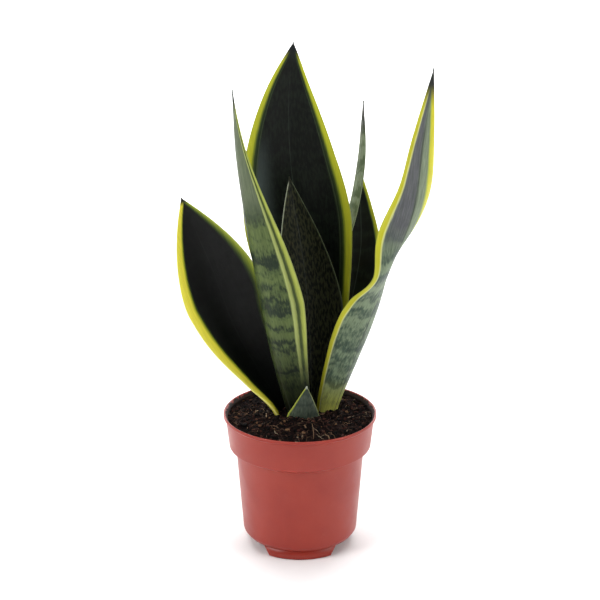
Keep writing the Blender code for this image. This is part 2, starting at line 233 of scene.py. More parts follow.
LEAVES = (
    Leaf(
        name="tall_back_leaf",
        spine=((0.008, 0.024, -BURIED), (0.009, 0.030, 0.018), (0.008, 0.038, 0.063),
               (0.004, 0.043, 0.106), (-0.0015, 0.045, 0.150), (-0.0075, 0.046, 0.198),
               (-0.0085, 0.044, 0.248), (-0.005, 0.040, 0.2905)),
        facing=(-90, -90, -90, -90),
        fold=(62, 55, 44, 26, 16, 12),
        crease=(2, 4, 6, 6, 4),
        half_width=0.0435,
        foot_half_width=0.010,
        widest_at=0.54,
        thickness=0.0050,
        tip_power=1.75,
        plus_margin=OLIVE_MARGIN,
        minus_margin=OLIVE_MARGIN,
        plus_scale=(0.5, 0.8, 1.0, 1.05, 0.7, 0.25),
        minus_scale=(0.5, 0.8, 1.1, 1.25, 0.8, 0.25),
        mottle=0.6,
        # Painted sheen: a lighter grey patch on the left half at mid-height
        sheen_colour=srgb(66, 76, 74),
        sheen_span=(0.52, 0.72),
        tip_length=17.0,
        tip_colour=srgb(26, 30, 30),
        rib_cover=0.25,
        seed=1.3,
    ),
    Leaf(
        name="left_leaf",
        spine=((-0.010, 0.0075, -BURIED), (-0.0165, 0.0095, 0.007), (-0.0335, 0.014, 0.035),
               (-0.0525, 0.015, 0.073), (-0.0685, 0.013, 0.121), (-0.090, 0.006, 0.178)),
        facing=(-32, -46, -64, -76, -82),
        fold=(62, 44, 30, 22, 14),
        crease=(2, 4, 6, 4),
        half_width=0.0335,
        foot_half_width=0.0075,
        widest_at=0.60,
        thickness=0.0050,
        base_power=1.3,
        tip_power=1.75,
        plus_margin=GREEN_EDGE,
        minus_margin=BRIGHT_MARGIN,
        plus_scale=(0.6, 1.0, 1.3, 1.5, 1.2, 0.5),
        minus_scale=(0.55, 0.8, 1.0, 1.0, 0.75, 0.3),
        inner_dark=srgb(7, 8, 8),
        inner_light=srgb(11, 14, 12),
        rib_cover=0.06,
        mottle=0.5,
        seed=4.1,
    ),
    Leaf(
        name="front_left_leaf",
        spine=((0.003, 0.002, -BURIED), (-0.008, -0.004, 0.016), (-0.0185, -0.011, 0.058),
               (-0.0265, -0.017, 0.100), (-0.034, -0.021, 0.140), (-0.0415, -0.023, 0.182),
               (-0.047, -0.023, 0.223), (-0.0495, -0.021, 0.269)),
        facing=(60, 44, 34, 28, 18, 8),
        fold=(60, 72, 74, 56, 36, 20),
        crease=(4, 8, 10, 6),
        half_width=0.0305,
        foot_half_width=0.0075,
        widest_at=0.43,
        thickness=0.0046,
        base_power=1.3,
        tip_power=1.7,
        plus_margin=NARROW_MARGIN,
        minus_margin=CHANNEL_MARGIN,
        minus_scale=(0.5, 0.7, 1.0, 0.8, 0.35, 0.16),
        outer_dark=srgb(32, 45, 30),
        outer_light=srgb(86, 101, 56),
        mottle=0.35,
        calm_above=0.62,
        plus_tint=srgb(128, 132, 120),
        minus_tint=srgb(98, 108, 84),
        # Painted shade: the lowest 110 mm above the soil are painted near-black and the margins fade out
        # there, standing in for the shadow behind the front sheath leaf
        base_colour=srgb(16, 19, 15),
        base_reach=110.0,
        base_cover=0.97,
        base_least=1.0,
        shaded_margin_reach=84.0,
        tip_length=20.0,
        tip_colour=srgb(44, 48, 42),
        band_length=9.5,
        seed=7.7,
    ),
    Leaf(
        name="centre_leaf",
        spine=((0.009, 0.016, -BURIED), (0.009, 0.022, 0.018), (0.0075, 0.027, 0.063),
               (0.0045, 0.029, 0.103), (0.000, 0.028, 0.138), (-0.005, 0.026, 0.168),
               (-0.0082, 0.023, 0.1895)),
        facing=(-90, -88, -86, -88),
        fold=(58, 48, 36, 28, 20),
        crease=(4, 8, 8, 6),
        half_width=0.0285,
        foot_half_width=0.0075,
        widest_at=0.50,
        thickness=0.0044,
        base_power=1.1,
        tip_power=1.35,
        plus_margin=DIM_EDGE,
        minus_margin=SILVER_EDGE,
        inner_dark=srgb(14, 17, 14),
        inner_light=srgb(62, 65, 42),
        mottle=0.9,
        seed=11.2,
    ),
    Leaf(
        name="right_twisted_leaf",
        spine=((0.021, 0.010, -BURIED), (0.0265, 0.009, 0.006), (0.041, 0.001, 0.050),
               (0.055, -0.010, 0.093), (0.0690, -0.022, 0.136), (0.0842, -0.033, 0.182),
               (0.0896, -0.040, 0.234), (0.096, -0.044, 0.2905)),
        facing=(140, 138, 135, 134, 144, 164, 124, 96, 88, 86, 86),
        fold=(60, 58, 57, 56, 54, 40, 60, 62, 46, 32, 24),
        crease=(4, 8, 2, 18, 8),
        half_width=0.024,
        foot_half_width=0.009,
        widest_at=0.36,
        thickness=0.0046,
        tip_power=1.5,
        plus_margin=TWIST_LEFT,
        minus_margin=TWIST_RIGHT,
        plus_scale=(0.4, 0.5, 0.7, 0.85, 0.7, 0.3),
        minus_scale=(0.3, 0.9, 1.4, 1.35, 0.65, 0.22),
        outer_dark=srgb(62, 78, 66),
        outer_light=srgb(116, 132, 104),
        mottle=0.3,
        band_length=12.0,
        calm_above=0.5,
        # Painted light and shade: plus_tint paints one half of the V-fold grey-purple as painted shade,
        # minus_tint the other half pale grey-green as painted light
        plus_tint=srgb(94, 92, 100),
        minus_tint=srgb(134, 146, 122),
        base_colour=srgb(196, 200, 92),
        base_reach=38.0,
        base_cover=0.9,
        base_least=0.6,
        tip_length=32.0,
        tip_colour=srgb(48, 50, 46),
        # Painted shade: a dark line along the crease of the fold
        rib_colour=srgb(58, 56, 60),
        rib_width=0.9,
        rib_cover=0.6,
        seed=15.9,
    ),
    Leaf(
        name="back_right_leaf",
        spine=((0.026, 0.034, -BURIED), (0.027, 0.039, 0.010), (0.034, 0.047, 0.048),
               (0.0425, 0.052, 0.086), (0.048, 0.055, 0.122), (0.0475, 0.0555, 0.156),
               (0.047, 0.0545, 0.186)),
        facing=(-112, -104, -96, -94),
        fold=(58, 44, 34, 24, 14),
        crease=(4, 6, 6, 4),
        half_width=0.019,
        foot_half_width=0.0065,
        widest_at=0.58,
        thickness=0.0036,
        base_power=1.2,
        tip_power=1.7,
        plus_margin=NARROW_MARGIN,
        minus_margin=THIN_EDGE,
        seed=19.4,
    ),
    Leaf(
        name="back_narrow_leaf",
        spine=((0.012, 0.037, -BURIED), (0.0125, 0.042, 0.022), (0.017, 0.0455, 0.066),
               (0.027, 0.0455, 0.112), (0.039, 0.0435, 0.154), (0.046, 0.042, 0.198),
               (0.0485, 0.041, 0.245)),
        facing=(-90, -80, -60, -40, -30),
        fold=(50, 50, 40, 20),
        crease=(4, 4, 4, 2),
        half_width=0.0062,
        foot_half_width=0.0030,
        widest_at=0.78,
        thickness=0.0028,
        tip_power=1.8,
        plus_margin=THIN_EDGE,
        minus_margin=THIN_EDGE,
        inner_dark=srgb(76, 90, 60),
        inner_light=srgb(136, 148, 118),
        tip_length=34.0,
        seed=23.8,
    ),
    Leaf(
        name="front_sheath_leaf",
        spine=((0.0025, -0.007, -BURIED), (0.0025, -0.012, -0.002), (0.0038, -0.0135, 0.012),
               (0.0052, -0.011, 0.031)),
        facing=(90, 90, 90),
        fold=(60, 54, 44, 30),
        crease=(2, 6, 10, 10),
        half_width=0.0150,
        foot_half_width=0.009,
        widest_at=0.42,
        thickness=0.0034,
        tip_power=1.25,
        plus_margin=SHEATH_LEFT,
        minus_margin=SHEATH_RIGHT,
        plus_scale=(1.0, 1.0, 1.0, 0.9, 0.7, 0.5),
        outer_dark=srgb(52, 62, 54),
        outer_light=srgb(88, 98, 82),
        base_reach=6.0,
        tip_length=3.0,
        tip_colour=srgb(170, 176, 160),
        seed=27.5,
    ),
)


# ---------------------------------------------------------------- materials


class Look:
    """A node material under construction. Each call returns the socket it makes."""

    def __init__(self, name):
        self.material = bpy.data.materials.new(name)
        self.material.use_nodes = True
        self.tree = self.material.node_tree
        self.shader = self.tree.nodes["Principled BSDF"]

    def put(self, value, socket):
        if isinstance(value, bpy.types.NodeSocket):
            self.tree.links.new(value, socket)
        elif value is not None:
            socket.default_value = value

    def attribute(self, name):
        node = self.tree.nodes.new("ShaderNodeAttribute")
        node.attribute_name = name
        return node.outputs["Fac"]

    def place(self):
        return self.tree.nodes.new("ShaderNodeTexCoord").outputs["Object"]

    def maths(self, operation, a, b=0.0, clamp=False):
        node = self.tree.nodes.new("ShaderNodeMath")
        node.operation = operation
        node.use_clamp = clamp
        self.put(a, node.inputs[0])
        self.put(b, node.inputs[1])
        return node.outputs[0]

    def vector(self, x, y, z):
        node = self.tree.nodes.new("ShaderNodeCombineXYZ")
        for value, socket in zip((x, y, z), node.inputs):
            self.put(value, socket)
        return node.outputs[0]

    def noise(self, vector, scale, detail=2.0, roughness=0.5, distortion=0.0):
        node = self.tree.nodes.new("ShaderNodeTexNoise")
        self.put(vector, node.inputs["Vector"])
        node.inputs["Scale"].default_value = scale
        node.inputs["Detail"].default_value = detail
        node.inputs["Roughness"].default_value = roughness
        node.inputs["Distortion"].default_value = distortion
        return node.outputs["Fac"]

    def cells(self, vector, scale):
        node = self.tree.nodes.new("ShaderNodeTexVoronoi")
        self.put(vector, node.inputs["Vector"])
        node.inputs["Scale"].default_value = scale
        return node.outputs["Distance"]

    def between(self, value, low, high, to_low=0.0, to_high=1.0):
        """value eased from low..high to to_low..to_high."""
        node = self.tree.nodes.new("ShaderNodeMapRange")
        node.interpolation_type = "SMOOTHSTEP"
        self.put(value, node.inputs["Value"])
        node.inputs["From Min"].default_value = low
        node.inputs["From Max"].default_value = high
        node.inputs["To Min"].default_value = to_low
        node.inputs["To Max"].default_value = to_high
        return node.outputs[0]

    def mix(self, share, a, b, blend="MIX"):
        node = self.tree.nodes.new("ShaderNodeMix")
        node.data_type = "RGBA"
        node.blend_type = blend
        self.put(share, node.inputs["Factor"])
        self.put(a, node.inputs[6])
        self.put(b, node.inputs[7])
        return node.outputs[2]

    def ramp(self, value, stops):
        """(colour, alpha) read from (position, colour) stops."""
        node = self.tree.nodes.new("ShaderNodeValToRGB")
        elements = node.color_ramp.elements
        while len(elements) < len(stops):
            elements.new(1.0)
        for element, (position, colour) in zip(elements, stops):
            element.position = position
        for element, (position, colour) in zip(elements, stops):
            element.color = colour
        self.put(value, node.inputs[0])
        return node.outputs["Color"], node.outputs["Alpha"]

    def bump(self, height, strength, distance, after=None):
        node = self.tree.nodes.new("ShaderNodeBump")
        node.inputs["Strength"].default_value = strength
        node.inputs["Distance"].default_value = distance
        self.put(height, node.inputs["Height"])
        self.put(after, node.inputs["Normal"])
        return node.outputs[0]

    def finish(self, colour, roughness, normal, specular=0.5):
        self.put(colour, self.shader.inputs["Base Color"])
        self.put(roughness, self.shader.inputs["Roughness"])
        self.put(normal, self.shader.inputs["Normal"])
        self.put(specular, self.shader.inputs["Specular IOR Level"])
        return self.material


MARGIN_SPAN = 20.0
SOIL_LINE = BURIED * 1000


def leaf_look(leaf):
    look = Look(f"{leaf.name}_look")
    across, along = look.attribute("across"), look.attribute("along")
    inner, t = look.attribute("inner"), look.attribute("t")
    seed = leaf.seed
    slow = look.maths("MULTIPLY", along, 0.045)
    streak = look.noise(look.vector(across, slow, seed), 1.5, 3.0, 0.6)
    fine = look.noise(look.vector(across, look.maths("MULTIPLY", along, 0.02), seed + 5), 5.0, 2.0)
    wide, tall = look.maths("MULTIPLY", across, 0.10), look.maths("MULTIPLY", along, 0.07)
    broad = look.vector(wide, tall, seed)
    wander = look.noise(broad, 1.0, 2.0)
    height = look.maths("ADD", along, look.maths("MULTIPLY", wander, 20.0))
    height = look.maths("ADD", height, look.maths("MULTIPLY", streak, 8.0))
    step = look.maths("DIVIDE", height, leaf.band_length)
    bars = look.noise(look.vector(seed, step, 0.0), 1.0, 1.5)
    flecks = look.noise(look.vector(across, look.maths("MULTIPLY", along, 0.30), seed + 9), 0.75, 3.0)
    mixed = look.maths("MULTIPLY", bars, 1 - leaf.mottle)
    mixed = look.maths("ADD", mixed, look.maths("MULTIPLY", flecks, leaf.mottle))
    band = look.between(mixed, 0.41, 0.59)
    calm = look.between(t, leaf.calm_above, leaf.calm_above + 0.15, 1.0, 0.3)
    band = look.maths("ADD", look.maths("MULTIPLY", look.maths("SUBTRACT", band, 0.5), calm), 0.5)
    shade = look.between(streak, 0.25, 0.75, 0.78, 1.22)

    outer = look.mix(band, leaf.outer_dark, leaf.outer_light)
    # Each tint colours one half of the blade above calm_above; on the right twisted leaf they are
    # painted shade and painted light on the two halves of its fold
    for tint, far, near in ((leaf.plus_tint, -1.0, 1.5), (leaf.minus_tint, 1.0, -1.5)):
        if tint:
            share = look.between(calm, 1.0, 0.3, 0.0, 0.8)
            half = look.maths("MULTIPLY", look.between(across, far, near), share)
            outer = look.mix(half, outer, tint)
    # The foot colour: a paler foot on most blades, painted shade on the front left leaf
    base = look.between(along, SOIL_LINE + leaf.base_reach, SOIL_LINE)
    strength = look.between(band, 0.0, 1.0, leaf.base_least, 1.0)
    foot = look.mix(strength, leaf.outer_dark, leaf.base_colour)
    outer = look.mix(look.maths("MULTIPLY", base, leaf.base_cover), outer, foot)
    faint = look.maths("MULTIPLY", band, 0.6)
    # Inner face colours: partly the leaf's own dark green, partly painted shade
    face = look.mix(inner, outer, look.mix(faint, leaf.inner_dark, leaf.inner_light))
    # The midrib line; on the right twisted leaf it is painted shade in the crease
    rib_place = look.maths("ABSOLUTE", across)
    rib = look.between(rib_place, leaf.rib_width, 0.0, 0.0, leaf.rib_cover)
    rib = look.maths("MULTIPLY", rib, look.between(t, 0.97, 0.8))
    face = look.mix(rib, face, leaf.rib_colour)
    tone = look.vector(shade, shade, shade)
    colour = look.mix(1.0, face, tone, "MULTIPLY")
    # Painted sheen: a lighter grey-green patch inside the minus margin between the heights of
    # sheen_span, standing in for a lamp's reflection
    if leaf.sheen_colour:
        low, high = leaf.sheen_span
        sheen = look.between(look.attribute("minus_edge"), 24.0, 9.0, 0.0, 0.8)
        sheen = look.maths("MULTIPLY", sheen, look.between(t, low - 0.08, low + 0.06))
        sheen = look.maths("MULTIPLY", sheen, look.between(t, high + 0.08, high - 0.06))
        colour = look.mix(sheen, colour, leaf.sheen_colour)

    ragged = look.maths("MULTIPLY", look.maths("SUBTRACT", streak, 0.5), 1.6)
    for side, stops in (("plus", leaf.plus_margin), ("minus", leaf.minus_margin)):
        place = look.maths("ADD", look.attribute(f"{side}_edge"), ragged)
        place = look.maths("DIVIDE", place, MARGIN_SPAN, clamp=True)
        paint, cover = look.ramp(place, [(mm / MARGIN_SPAN, c) for mm, c in stops])
        # Painted shade: the margins fade out towards the foot, where the blade lies in shadow
        if leaf.shaded_margin_reach:
            whole = SOIL_LINE + leaf.shaded_margin_reach
            fade = look.between(along, SOIL_LINE + leaf.shaded_margin_reach * 0.3, whole)
            cover = look.maths("MULTIPLY", cover, fade)
        colour = look.mix(cover, colour, paint)

    tip = look.between(look.attribute("to_tip"), leaf.tip_length, leaf.tip_length * 0.35)
    colour = look.mix(tip, colour, leaf.tip_colour)
    fibres = look.between(fine, 0.3, 0.7, 0.90, 1.10)
    colour = look.mix(1.0, colour, look.vector(fibres, fibres, fibres), "MULTIPLY")

    roughness = look.between(look.noise(broad, 3.0, 3.0), 0.3, 0.7, 0.34, 0.50)
    relief = look.maths("ADD", look.maths("MULTIPLY", fine, 0.5), streak)
    normal = look.bump(relief, 0.35, 0.00035)
    return look.finish(colour, roughness, normal, 0.16)


def pot_look():
    look = Look("moulded_plastic_look")
    place = look.place()
    cloud = look.noise(place, 26.0, 4.0, 0.6)
    colour = look.mix(look.between(cloud, 0.3, 0.7), srgb(148, 41, 27), srgb(156, 48, 32))
    dust = look.between(look.noise(place, 160.0, 4.0, 0.7), 0.58, 0.8, 0.0, 0.10)
    colour = look.mix(dust, colour, srgb(184, 100, 80))
    # Painted shade: the inner wall and floor are painted near-black and made rougher, standing in for
    # the shadow inside the rim
    ragged = look.between(look.noise(place, 240.0, 5.0, 0.7), 0.25, 0.75, -0.35, 0.35)
    painted_shade = look.between(look.maths("ADD", look.attribute("inner_wall_shade"), ragged), 0.36, 0.64, 0.0, 0.97)
    colour = look.mix(painted_shade, colour, srgb(19, 11, 10))
    roughness = look.between(look.noise(place, 60.0, 3.0), 0.3, 0.7, 0.33, 0.43)
    roughness = look.maths("ADD", roughness, look.maths("MULTIPLY", painted_shade, 0.4))
    normal = look.bump(look.noise(place, 900.0, 2.0), 0.10, 0.0002)
    normal = look.bump(look.noise(place, 70.0, 2.0), 0.10, 0.0010, normal)
    return look.finish(colour, roughness, normal, 0.4)


def soil_look():
    look = Look("potting_mix_look")
    place = look.place()
    grain = look.noise(place, 420.0, 6.0, 0.7)
    patch = look.noise(place, 60.0, 3.0)
    colour = look.mix(look.between(grain, 0.35, 0.7), srgb(3, 2, 3), srgb(32, 20, 17))
    colour = look.mix(look.between(patch, 0.45, 0.75, 0.0, 0.5), colour, srgb(34, 19, 17))
    cells = look.cells(place, 700.0)
    normal = look.bump(cells, 0.7, 0.0008)
    normal = look.bump(grain, 0.8, 0.0010, normal)
    return look.finish(colour, 0.9, normal, 0.06)


def crumb_look():
    look = Look("crumb_look")
    place, tone = look.place(), look.attribute("tone")
    colour, _ = look.ramp(tone, [
        (0.0, srgb(4, 4, 5)), (0.42, srgb(12, 9, 9)), (0.66, srgb(42, 25, 22)),
        (0.88, srgb(78, 48, 40)), (1.0, srgb(124, 94, 68)),
    ])
    grain = look.noise(place, 900.0, 4.0, 0.7)
    colour = look.mix(look.between(grain, 0.35, 0.7, 0.0, 0.5), colour, srgb(12, 9, 8))
    normal = look.bump(grain, 0.8, 0.0005)
    return look.finish(colour, 0.88, normal, 0.08)


def fibre_look():
    look = Look("fibre_look")
    place, tone = look.place(), look.attribute("tone")
    colour, _ = look.ramp(tone, [
        (0.0, srgb(38, 24, 19)), (0.5, srgb(80, 55, 41)), (0.85, srgb(150, 120, 92)),
        (1.0, srgb(206, 186, 156)),
    ])
    grain = look.noise(place, 700.0, 4.0, 0.7)
    colour = look.mix(look.between(grain, 0.3, 0.7, 0.0, 0.4), colour, srgb(48, 32, 22))
    return look.finish(colour, 0.8, look.bump(grain, 0.5, 0.0003), 0.3)


def rhizome_look():
    look = Look("rhizome_look")
    place = look.place()
    skin = look.noise(place, 90.0, 5.0, 0.6)
    colour = look.mix(look.between(skin, 0.3, 0.7), srgb(214, 150, 84), srgb(168, 96, 48))
    rings = look.noise(place, 300.0, 3.0)
    normal = look.bump(rings, 0.5, 0.0010)
    return look.finish(colour, look.between(skin, 0.3, 0.7, 0.5, 0.75), normal, 0.4)


def floor_look():
    look = Look("floor_look")
    place = look.place()
    cloud = look.noise(place, 3.0, 2.0)
    colour = look.mix(look.between(cloud, 0.3, 0.7), srgb(243, 243, 243), srgb(246, 246, 246))
    return look.finish(colour, 0.8, look.bump(look.noise(place, 400.0, 2.0), 0.02, 0.0002), 0.2)


# ---------------------------------------------------------------- meshes


def piece(name, bm_or_mesh, look):
    """A new visible object that rides on the part's only body."""
    if isinstance(bm_or_mesh, bmesh.types.BMesh):
        mesh = bpy.data.meshes.new(name)
        bm_or_mesh.to_mesh(mesh)
        bm_or_mesh.free()
    else:
        mesh = bm_or_mesh
    mesh.shade_smooth()
    obj = bpy.data.objects.new(name, mesh)
    bpy.context.scene.collection.objects.link(obj)
    mesh.materials.append(look)
    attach(obj, "root")
    return obj


def smooth(values, t):
    """The value at t, 0 to 1, of a Catmull-Rom curve through evenly spaced values or points."""
    spans = len(values) - 1
    i = min(int(t * spans), spans - 1)
    f = t * spans - i
    b, c = values[i], values[i + 1]
    a = values[i - 1] if i > 0 else b + (b - c)
    d = values[i + 2] if i + 2 <= spans else c + (c - b)
    return b + (c - a) * (f / 2) + (a * 2 - b * 5 + c * 4 - d) * (f * f / 2) + (
        (b - c) * 3 + d - a
    ) * (f * f * f / 2)


def even_spine(leaf, count):
    """count points evenly spaced along the leaf's spine, and its length."""
    points = [Vector((x, y, SOIL_TOP + height)) for x, y, height in leaf.spine]
    fine = [smooth(points, i / 400) for i in range(401)]
    reach = [0.0]
    for a, b in zip(fine, fine[1:]):
        reach.append(reach[-1] + (b - a).length)
    spaced, j = [], 0
    for i in range(count):
        want = reach[-1] * i / (count - 1)
        while j < 399 and reach[j + 1] < want:
            j += 1
        f = (want - reach[j]) / (reach[j + 1] - reach[j])
        spaced.append(fine[j].lerp(fine[j + 1], f))
    return spaced, reach[-1]


def blade_half_width(leaf, t):
    if t < leaf.widest_at:
        share = 1 - t / leaf.widest_at
        narrowing = (leaf.half_width - leaf.foot_half_width) * share**leaf.base_power
        return leaf.half_width - narrowing
    share = (t - leaf.widest_at) / (1 - leaf.widest_at)
    return max(leaf.half_width * (1 - share**leaf.tip_power), TIP_HALF_WIDTH)


def blade_thickness(leaf, t):
    return TIP_THICKNESS + (leaf.thickness - TIP_THICKNESS) * (1 - t) ** 1.3


def make_leaf(leaf):
    spine, length = even_spine(leaf, BLADE_ROWS)
    bm = bmesh.new()
    names = ("across", "along", "inner", "t", "to_tip", "plus_edge", "minus_edge")
    layers = {n: bm.verts.layers.float.new(n) for n in names}
    rings = []
    for i, centre in enumerate(spine):
        t = i / (BLADE_ROWS - 1)
        before, after = spine[max(i - 1, 0)], spine[min(i + 1, BLADE_ROWS - 1)]
        tangent = (after - before).normalized()
        azimuth = math.radians(smooth(leaf.facing, t))
        inward = Vector((math.cos(azimuth), math.sin(azimuth), 0))
        inward = (inward - tangent * inward.dot(tangent)).normalized()
        across = tangent.cross(inward)
        half = blade_half_width(leaf, t)
        thick = blade_thickness(leaf, t) / 2
        curl = math.radians(smooth(leaf.fold, t)) / half
        fold = math.tan(math.radians(smooth(leaf.crease, t)))
        soft = CREASE_SOFTNESS * half
        plus_scale, minus_scale = smooth(leaf.plus_scale, t), smooth(leaf.minus_scale, t)
        ring = []
        for k in range(BLADE_RING):
            turn = 2 * math.pi * k / BLADE_RING
            cos, sin = math.cos(turn), math.sin(turn)
            s = half * cos
            reach = math.hypot(s, soft)
            sideways = math.sin(curl * s) / curl
            depth = (1 - math.cos(curl * s)) / curl + fold * (reach - soft)
            slope = math.sin(curl * s) + fold * s / reach
            normal = (inward * math.cos(curl * s) - across * slope).normalized()
            full = math.copysign(abs(sin) ** 0.8, sin)
            vert = bm.verts.new(centre + across * sideways + inward * depth + normal * thick * full)
            vert[layers["across"]] = s * 1000
            vert[layers["along"]] = t * length * 1000
            vert[layers["inner"]] = min(max(0.5 + 3 * sin, 0.0), 1.0)
            vert[layers["t"]] = t
            vert[layers["to_tip"]] = (1 - t) * length * 1000
            vert[layers["plus_edge"]] = (half - s) * 1000 / plus_scale
            vert[layers["minus_edge"]] = (half + s) * 1000 / minus_scale
            ring.append(vert)
        rings.append(ring)
    for low, high in zip(rings, rings[1:]):
        for k in range(BLADE_RING):
            m = (k + 1) % BLADE_RING
            bm.faces.new((low[k], low[m], high[m], high[k]))
    bm.faces.new(rings[0])
    bm.faces.new(rings[-1])
    bmesh.ops.recalc_face_normals(bm, faces=bm.faces)
    obj = piece(f"{leaf.name}_blade", bm, leaf_look(leaf))
    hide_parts(leaf.name)
    return obj


def rounded(points, radii):
    """The open profile with each inner corner replaced by an arc of its radius."""
    out = [Vector(points[0])]
    for before, here, after, radius in zip(points, points[1:], points[2:], radii):
        before, here, after = Vector(before), Vector(here), Vector(after)
        back, on = (before - here), (after - here)
        turn = back.angle(on)
        if radius <= 0 or turn > math.radians(178):
            out.append(here)
            continue
        cut = radius / math.tan(turn / 2)
        cut = min(cut, back.length * 0.48, on.length * 0.48)
        start, end = here + back.normalized() * cut, here + on.normalized() * cut
        for j in range(6):
            f = j / 5
            out.append(start.lerp(here, f).lerp(here.lerp(end, f), f))
    out.append(Vector(points[-1]))
    return out


def turned_mesh(bm, profile, segments):
    """Faces of revolution about Z from (radius, height) points, closed on the axis."""
    rings = []
    for radius, height in profile:
        if radius < 1e-7:
            rings.append([bm.verts.new((0, 0, height))])
            continue
        turns = [2 * math.pi * k / segments for k in range(segments)]
        rings.append([bm.verts.new((radius * math.cos(a), radius * math.sin(a), height)) for a in turns])
    for low, high in zip(rings, rings[1:]):
        for k in range(segments):
            m = (k + 1) % segments
            corners = [low[k % len(low)], low[m % len(low)], high[m % len(high)], high[k % len(high)]]
            corners = list(dict.fromkeys(corners))
            if len(corners) > 2:
                bm.faces.new(corners)
    return rings


def foot_mesh(bm, turn_about):
    """The front or back foot, an arc with slanted ends, as a closed body let into the base."""
    steps, soft = 48, 0.0005
    inner, outer, top = FOOT_RADIUS - FOOT_WIDTH, FOOT_RADIUS, FOOT_HEIGHT + WALL / 2
    section = [
        (inner, top), (inner, soft), (inner + soft, 0.0), (outer - soft, 0.0),
        (outer - soft * 0.3, soft * 0.3), (outer, soft), (outer, top),
    ]
    rings = []
    for i in range(steps + 1):
        ring = []
        for radius, height in section:
            edge = FOOT_LENGTH / 2 + FOOT_SLANT * min(height / FOOT_HEIGHT, 1.0)
            turn = turn_about + (i / steps * 2 - 1) * math.asin(edge / radius)
            ring.append(bm.verts.new((radius * math.cos(turn), radius * math.sin(turn), height)))
        rings.append(ring)
    for low, high in zip(rings, rings[1:]):
        for k in range(len(section)):
            m = (k + 1) % len(section)
            bm.faces.new((low[k], low[m], high[m], high[k]))
    bm.faces.new(rings[0])
    bm.faces.new(rings[-1])


def make_pot():
    band_foot = POT_HEIGHT - BAND_HEIGHT
    lip = WALL / 3
    corners = [
        (0, FOOT_HEIGHT + WALL, 0),
        (BASE_RADIUS - WALL, FOOT_HEIGHT + WALL, 0.0015),
        (BODY_FOOT_RADIUS - WALL, FOOT_HEIGHT + CORNER_HEIGHT + WALL / 2, 0.003),
        (BODY_TOP_RADIUS - WALL, band_foot - STEP_DROP + WALL, 0.002),
        (BAND_FOOT_RADIUS - WALL, band_foot + WALL, 0.002),
        (BAND_TOP_RADIUS - WALL, POT_HEIGHT - LIP_HEIGHT, 0.001),
        (RIM_RADIUS - WALL, POT_HEIGHT - lip, 0.0004),
        (RIM_RADIUS - WALL + lip, POT_HEIGHT, 0.0004),
        (RIM_RADIUS - lip, POT_HEIGHT, 0.0004),
        (RIM_RADIUS, POT_HEIGHT - lip, 0.0004),
        (RIM_RADIUS, POT_HEIGHT - LIP_HEIGHT * 0.75, 0.0004),
        (BAND_TOP_RADIUS, POT_HEIGHT - LIP_HEIGHT - WALL / 2, 0.0006),
        (BAND_FOOT_RADIUS, band_foot, 0.0007),
        (BODY_TOP_RADIUS, band_foot - STEP_DROP, 0.0012),
        (BODY_FOOT_RADIUS, FOOT_HEIGHT + CORNER_HEIGHT, 0.004),
        (BASE_RADIUS, FOOT_HEIGHT, 0.0012),
        (FOOT_RADIUS - FOOT_WIDTH, FOOT_HEIGHT, 0),
        (0, FOOT_HEIGHT, 0),
    ]
    profile = rounded([(r, z) for r, z, _ in corners], [fillet for _, _, fillet in corners[1:-1]])
    bm = bmesh.new()
    # Mask of the painted shade on the pot's inner side, rising from nothing at the rim to full just
    # below it
    inner_wall_shade = bm.verts.layers.float.new("inner_wall_shade")
    rings = turned_mesh(bm, profile, POT_SEGMENTS)
    top_ring = max(range(len(profile)), key=lambda i: profile[i][1])
    for ring in rings[:top_ring]:
        for vert in ring:
            vert[inner_wall_shade] = min(max((POT_HEIGHT - vert.co.z) / WALL_SHADE_DEPTH, 0.0), 1.0)
    bmesh.ops.recalc_face_normals(bm, faces=bm.faces)
    obj = piece("moulded_pot", bm, pot_look())
    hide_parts("pot")
    cutter_bm = bmesh.new()
    for i in range(DRAIN_COUNT):
        turn = -math.pi / 2 + i * 2 * math.pi / DRAIN_COUNT
        at = Matrix.Translation((
            DRAIN_CIRCLE * math.cos(turn), DRAIN_CIRCLE * math.sin(turn), FOOT_HEIGHT + WALL / 2,
        ))
        bmesh.ops.create_cone(
            cutter_bm, cap_ends=True, segments=40, radius1=DRAIN_RADIUS, radius2=DRAIN_RADIUS,
            depth=4 * WALL, matrix=at,
        )
    mesh = bpy.data.meshes.new("drain_cutter")
    cutter_bm.to_mesh(mesh)
    cutter_bm.free()
    cutter = bpy.data.objects.new("drain_cutter", mesh)
    bpy.context.scene.collection.objects.link(cutter)
    drains = obj.modifiers.new("drains", "BOOLEAN")
    drains.operation = "DIFFERENCE"
    drains.object = cutter
    bpy.context.view_layer.update()
    cut = bpy.data.meshes.new_from_object(obj.evaluated_get(bpy.context.evaluated_depsgraph_get()))
    obj.modifiers.clear()
    bpy.data.objects.remove(cutter)
    bm = bmesh.new()
    bm.from_mesh(cut)
    for turn_about in (-math.pi / 2, math.pi / 2):
        foot_mesh(bm, turn_about)
    bmesh.ops.recalc_face_normals(bm, faces=bm.faces)
    bm.to_mesh(obj.data)
    bm.free()
    obj.data.shade_smooth()
    return obj


def soil_height(x, y):
    """The soil surface: the part's mound, heaped a little against the front leaf and roughened."""
    share = min(math.hypot(x, y) / MOUND_RADIUS, 1.0)
    mound = MOUND * (1 - share * share)
    apart = (x - HEAP_AT[0]) ** 2 + (y - HEAP_AT[1]) ** 2
    heap = HEAP_HEIGHT * math.exp(-apart / HEAP_SPREAD)
    rough = noise.fractal(Vector((x, y, 0.3)) * 90, 0.6, 2.2, 4)
    lumps = noise.noise(Vector((x, y, 7.1)) * 260)
    return SOIL_TOP + mound + heap + ROUGHNESS_HEIGHT * rough + LUMP_HEIGHT * lumps


